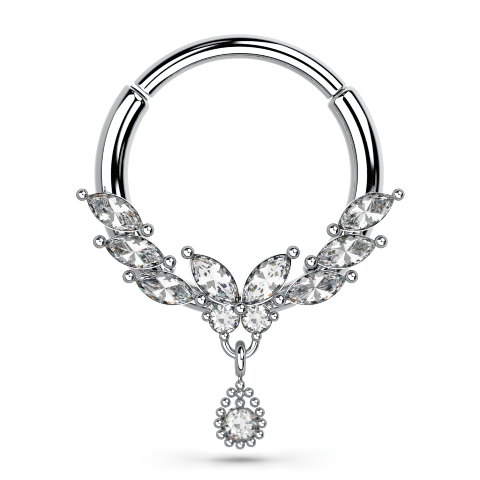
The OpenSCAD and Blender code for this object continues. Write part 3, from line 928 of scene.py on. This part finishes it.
class JEWEL_OT_drop_setting(bpy.types.Operator):
    """Build the drop's bail, neck, plate and collar, and the beads round its stone"""

    bl_idname = "jewel.drop_setting"
    bl_label = "Drop setting and beads"

    def execute(self, context):
        s = context.scene.ring_sizes
        turns = full_turn(ROUND_STEPS)
        bail_line = [Vector((0, -DROP_DEPTH + BAIL_RADIUS * cos(t), BAIL_Z + BAIL_RADIUS * sin(t))) for t in turns]
        bent_wire("drop_bail", bail_line, BAIL_WIRE, DROP, "drop_setting", closed=True)
        corners = [Vector((x, 0, z)) * MM * PLATE_SHARE for x, z in BEADS]
        corners += [MIRROR @ p for p in corners[-2:0:-1]]
        edge = [hull_radius(corners, Vector(), t) for t in turns]
        e = SOFT_EDGE
        collar = s.drop_r + COLLAR_THICK
        hollow = s.drop_r + STONE_GAP
        seat = DROP_GIRDLE - STONE_GAP
        seat_low = seat - (s.drop_r - DROP_HOLE) * tan(ROUND_CUT[0])
        # Share of the distance from the stone's middle to the plate's edge, what is added to it, and height
        profile = [
            (1, 0, PLATE_BACK + e), (1, 0, PLATE_FRONT - e), (1, -e, PLATE_FRONT),
            (0, collar, PLATE_FRONT), (0, collar, COLLAR_TOP - e), (0, collar - e, COLLAR_TOP),
            (0, hollow + e / 2, COLLAR_TOP), (0, hollow, COLLAR_TOP - e / 2), (0, hollow, seat),
            (0, DROP_HOLE, seat_low), (0, DROP_HOLE, PLATE_BACK), (1, -e, PLATE_BACK),
        ]
        loops = []
        for share, added, height in profile:
            loop = []
            for r, t in zip(edge, turns):
                out = share * r + added
                fall = PLATE_DISH * (r - out) if height == PLATE_FRONT and sin(t) > DISH_FROM else 0.0
                loop.append(Vector((out * cos(t), out * sin(t), height - fall)))
            loops.append(loop)
        plate = moved(skin(loops, closed=True), on_drop())
        neck = rod(Vector((0, -DROP_DEPTH, NECK_LOW)), Vector((0, -DROP_DEPTH, NECK_TOP)), NECK_RADIUS)
        steel_piece("drop_plate", [plate, neck], DROP, "drop_setting")
        place = on_drop()
        points, radii = [], []
        for spots, radius in ((BEADS, BEAD_RADIUS), (INNER_BEADS, SMALL_BEAD_RADIUS)):
            for x, z in spots:
                for sign in ((1,) if x == 0 else (-1, 1)):
                    points.append(place @ Vector((sign * x * MM, z * MM, 0)))
                    radii.append(LOWEST_BEAD_RADIUS if (x, z) == BEADS[-1] else radius)
        grown_piece("drop_beads", points, [], [0.0] * len(points), radii, DROP, "drop_setting")
        return {"FINISHED"}


class JEWEL_OT_drop_stone(bpy.types.Operator):
    """Cut and set the round stone of the drop"""

    bl_idname = "jewel.drop_stone"
    bl_label = "Drop stone"

    def execute(self, context):
        set_stone("drop_cut_stone", round_cut(context.scene.ring_sizes.drop_r),
                  on_drop() @ Matrix.Translation((0, 0, DROP_GIRDLE)),
                  DROP, "drop_stone", clear_zirconia("round", ROUND_INDEX))
        return {"FINISHED"}


# ---- the stage

# Studio surroundings as seen from the ring, in degrees away from straight ahead: to the right and up.
# Each straight edge is the direction that it faces, in degrees from the right, and how far out it lies.
KEY_OVAL = (-3, 3, 59, 72, 45)
KEY_EDGES = [(90, 34), (0, 38)]
KEY_NOTCH = [(180, 6), (270, 4)]
FILL_EDGES = [(180, 0), (270, -3), (225, -18.5), (45, 69), (-45, 28), (135, 33)]
BOX_LIGHT = 1.3
# Small pale reflectors in the dark beside the soft boxes: right, up, half width, half height, turn, brightness
REFLECTORS = [(-11.5, 55, 8, 7, 0, 0.45), (58, -7, 6, 8, 0, 0.35)]
# The pale room behind the ring starts outside this oval
ROOM_OVAL = (7, 7, 84, 84, 0)
ROOM_SOFTNESS = 10
ROOM_LIGHT, ROOM_SLOPE = 0.71, 0.19
REAR_LIGHT = 1.15
# What the stones see is evened out, as by a white tent, and they stand before a white backdrop
STONE_SHARE, STONE_LIFT = 0.5, 0.36
BACKDROP_LIGHT = 0.92
# How far from straight ahead the room's back wall and the backdrop begin and are full
REAR_FROM, BACKDROP_FROM = (115.0, 180.0), (118.0, 150.0)
FLOOR_FILL = 0.1
# Half the soft edge of the boxes, in degrees
CRISP = 1.5


def inside_oval(tree, place, oval, softness=CRISP):
    """1 inside an oval of the surroundings, 0 outside."""
    right, up, half_w, half_h, turn = oval[:5]
    local = add_node(tree, "ShaderNodeMapping", {
        "Vector": place, "Location": (right, up, 0), "Rotation": (0, 0, radians(turn)),
        "Scale": (half_w, half_h, 1)}, vector_type="TEXTURE")
    away = add_node(tree, "ShaderNodeVectorMath", [local], operation="LENGTH").outputs["Value"]
    soft = softness / min(half_w, half_h)
    return add_node(tree, "ShaderNodeMapRange", [away, 1 + soft, 1 - soft], interpolation_type="SMOOTHSTEP")


def within_edges(tree, place, edges, mask=1.0):
    """1 on the inner side of every straight edge, 0 outside."""
    for facing, distance in edges:
        turn = radians(facing)
        out = add_node(tree, "ShaderNodeVectorMath", [place, (cos(turn), sin(turn), 0)],
                       operation="DOT_PRODUCT").outputs["Value"]
        part = add_node(tree, "ShaderNodeMapRange", [out, distance + CRISP, distance - CRISP],
                        interpolation_type="SMOOTHSTEP")
        mask = add_node(tree, "ShaderNodeMath", [mask, part], operation="MULTIPLY")
    return mask


def studio_world(back, right, up):
    """World whose light comes from two large soft boxes in front of the ring, with a pale room behind it."""
    world = bpy.data.worlds.new("Studio")
    world.use_nodes = True
    tree = world.node_tree
    node = partial(add_node, tree)
    tree.nodes.clear()
    way = node("ShaderNodeTexCoord").outputs["Generated"]
    parts = [
        node("ShaderNodeVectorMath", [way, tuple(axis)], operation="DOT_PRODUCT").outputs["Value"]
        for axis in (right, up, back)
    ]
    side = node("ShaderNodeCombineXYZ", [parts[0], parts[1], 0.0])
    aim = node("ShaderNodeVectorMath", [side], operation="NORMALIZE")
    angle = node("ShaderNodeMath", [parts[2]], operation="ARCCOSINE")
    degrees = node("ShaderNodeMath", [angle], operation="DEGREES")
    place = node("ShaderNodeVectorMath", {"Vector": aim, "Scale": degrees}, operation="SCALE")
    notch = within_edges(tree, place, KEY_NOTCH)
    outside = node("ShaderNodeMath", [1.0, notch], operation="SUBTRACT")
    key = within_edges(tree, place, KEY_EDGES, inside_oval(tree, place, KEY_OVAL))
    key = node("ShaderNodeMath", [key, outside], operation="MULTIPLY")
    boxes = node("ShaderNodeMath", [key, within_edges(tree, place, FILL_EDGES)], operation="MAXIMUM")
    light = node("ShaderNodeMath", [boxes, BOX_LIGHT], operation="MULTIPLY")
    for spot in REFLECTORS:
        part = node("ShaderNodeMath", [inside_oval(tree, place, spot), spot[5]], operation="MULTIPLY")
        light = node("ShaderNodeMath", [light, part], operation="MAXIMUM")
    lean = node("ShaderNodeMath", [parts[0], parts[1]], operation="ADD")
    room = node("ShaderNodeMath", [lean, ROOM_SLOPE, ROOM_LIGHT], operation="MULTIPLY_ADD")
    rear, behind = (node("ShaderNodeMapRange", [degrees, *reach], interpolation_type="SMOOTHSTEP")
                    for reach in (REAR_FROM, BACKDROP_FROM))
    room = node("ShaderNodeMix", {0: rear, 2: room, 3: REAR_LIGHT}, data_type="FLOAT")
    inside = inside_oval(tree, place, ROOM_OVAL, ROOM_SOFTNESS)
    seen = node("ShaderNodeMix", {0: inside, 2: room, 3: light}, data_type="FLOAT")
    tent = node("ShaderNodeMath", [seen, STONE_SHARE, STONE_LIFT], operation="MULTIPLY_ADD")
    tent = node("ShaderNodeMix", {0: behind, 2: tent, 3: BACKDROP_LIGHT}, data_type="FLOAT")
    ray = node("ShaderNodeLightPath").outputs
    through = node("ShaderNodeMath", [ray["Transmission Depth"], 0.5], operation="GREATER_THAN")
    for share, other in ((through, tent), (ray["Is Diffuse Ray"], FLOOR_FILL)):
        seen = node("ShaderNodeMix", {0: share, 2: seen, 3: other}, data_type="FLOAT")
    lit, plain = (node("ShaderNodeBackground", [colour]) for colour in (seen, (1, 1, 1, 1)))
    node("ShaderNodeOutputWorld", [node("ShaderNodeMixShader", [ray["Is Camera Ray"], lit, plain])])
    return world


# Camera: the middle of its view, its sensor in millimetres and how softly a pixel gathers light
SEEN_MIDDLE = Vector((-0.014, -1.6, -9.23)) * MM
SENSOR_WIDTH = 36
PIXEL_FILTER = 0.9
# A cut stone needs this many bounces before its light comes out again
STONE_BOUNCES = 24
# The floor's sheet rises to the back, as paper is swept up behind a small thing
FLOOR_RADIUS = 150 * MM
FLOOR_RISE = radians(24)
# Row of soft lamps overhead: how far each leans to the side, and its share of the light
LAMPS = [(radians(-38), 0.32), (0.0, 0.36), (radians(38), 0.32)]
LAMP_ANGLE, LAMP_LIGHT = radians(34), 3.5


def toward(azimuth, elevation):
    """Direction from the ring to a viewer."""
    return Vector((sin(azimuth) * cos(elevation), -cos(azimuth) * cos(elevation), sin(elevation)))


class JEWEL_OT_stage(bpy.types.Operator):
    """Set the camera, the studio light and the floor"""

    bl_idname = "jewel.stage"
    bl_label = "Stage"

    def execute(self, context):
        scene, stage = context.scene, context.scene.stage_sizes
        azimuth, elevation = stage.camera_azimuth, stage.camera_elevation
        back = toward(azimuth, elevation)
        camera = bpy.data.cameras.new("Camera")
        camera.lens = stage.lens
        camera.sensor_width = SENSOR_WIDTH
        distance = stage.frame_width * camera.lens / camera.sensor_width
        camera.clip_start, camera.clip_end = distance / 20, distance * 10
        viewer = object_of("Camera", camera)
        viewer.location = SEEN_MIDDLE + back * distance
        viewer.rotation_euler = (-back).to_track_quat("-Z", "Y").to_euler()
        scene.camera = viewer
        scene.view_settings.view_transform = "Standard"
        ahead = toward(-azimuth, -elevation)
        right = Vector((cos(azimuth), -sin(azimuth), 0))
        scene.world = studio_world(ahead, right, ahead.cross(right))
        scene.cycles.filter_width = PIXEL_FILTER
        scene.cycles.max_bounces = scene.cycles.glossy_bounces = scene.cycles.transmission_bounces = STONE_BOUNCES

        floor_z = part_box("drop_setting")[0].z - stage.floor_gap
        sheet = bpy.data.meshes.new("floor")
        sheet.from_pydata(circle(FLOOR_RADIUS, ROUND_STEPS), [], [range(ROUND_STEPS)])
        sheet.transform(Matrix.Translation((0, -DROP_DEPTH, floor_z)) @ Matrix.Rotation(FLOOR_RISE, 4, "X"))
        sheet.materials.append(white_paper())
        floor = object_of("floor", sheet)
        floor.visible_glossy = floor.visible_transmission = False

        for lean, share in LAMPS:
            lamp = bpy.data.lights.new("Overhead soft light", "SUN")
            lamp.angle, lamp.energy = LAMP_ANGLE, LAMP_LIGHT * share / cos(lean)
            soft_light = object_of("Overhead soft light", lamp)
            soft_light.rotation_euler = (0, lean, 0)
            soft_light.visible_glossy = soft_light.visible_transmission = soft_light.visible_camera = False
        return {"FINISHED"}


OPERATORS = [
    JEWEL_OT_ring_tube, JEWEL_OT_settings, JEWEL_OT_claws, JEWEL_OT_carrying_loop, JEWEL_OT_hinged_bar,
    JEWEL_OT_ring_stones, JEWEL_OT_drop_setting, JEWEL_OT_drop_stone, JEWEL_OT_stage,
]


class JEWEL_PT_panel(bpy.types.Panel):
    """Lists the pieces of the ring in the order they are made"""

    bl_idname = "JEWEL_PT_panel"
    bl_label = "Septum ring"
    bl_space_type = "VIEW_3D"
    bl_region_type = "UI"
    bl_category = "Septum ring"

    def draw(self, context):
        for operator in OPERATORS:
            self.layout.operator(operator.bl_idname)
        for group in (context.scene.ring_sizes, context.scene.ring_finish, context.scene.stage_sizes):
            column = self.layout.column()
            for name in group.__annotations__:
                column.prop(group, name)


GROUPS = {"ring_sizes": RingSizes, "ring_finish": RingFinish, "stage_sizes": StageSizes}


def register():
    for cls in [*GROUPS.values(), *OPERATORS, JEWEL_PT_panel]:
        bpy.utils.register_class(cls)
    for name, group in GROUPS.items():
        setattr(bpy.types.Scene, name, PointerProperty(type=group))


def unregister():
    for name in GROUPS:
        delattr(bpy.types.Scene, name)
    for cls in reversed([*GROUPS.values(), *OPERATORS, JEWEL_PT_panel]):
        bpy.utils.unregister_class(cls)


def main():
    register()
    for operator in OPERATORS:
        family, name = operator.bl_idname.split(".")
        getattr(getattr(bpy.ops, family), name)()


if __name__ == "__main__":
    main()
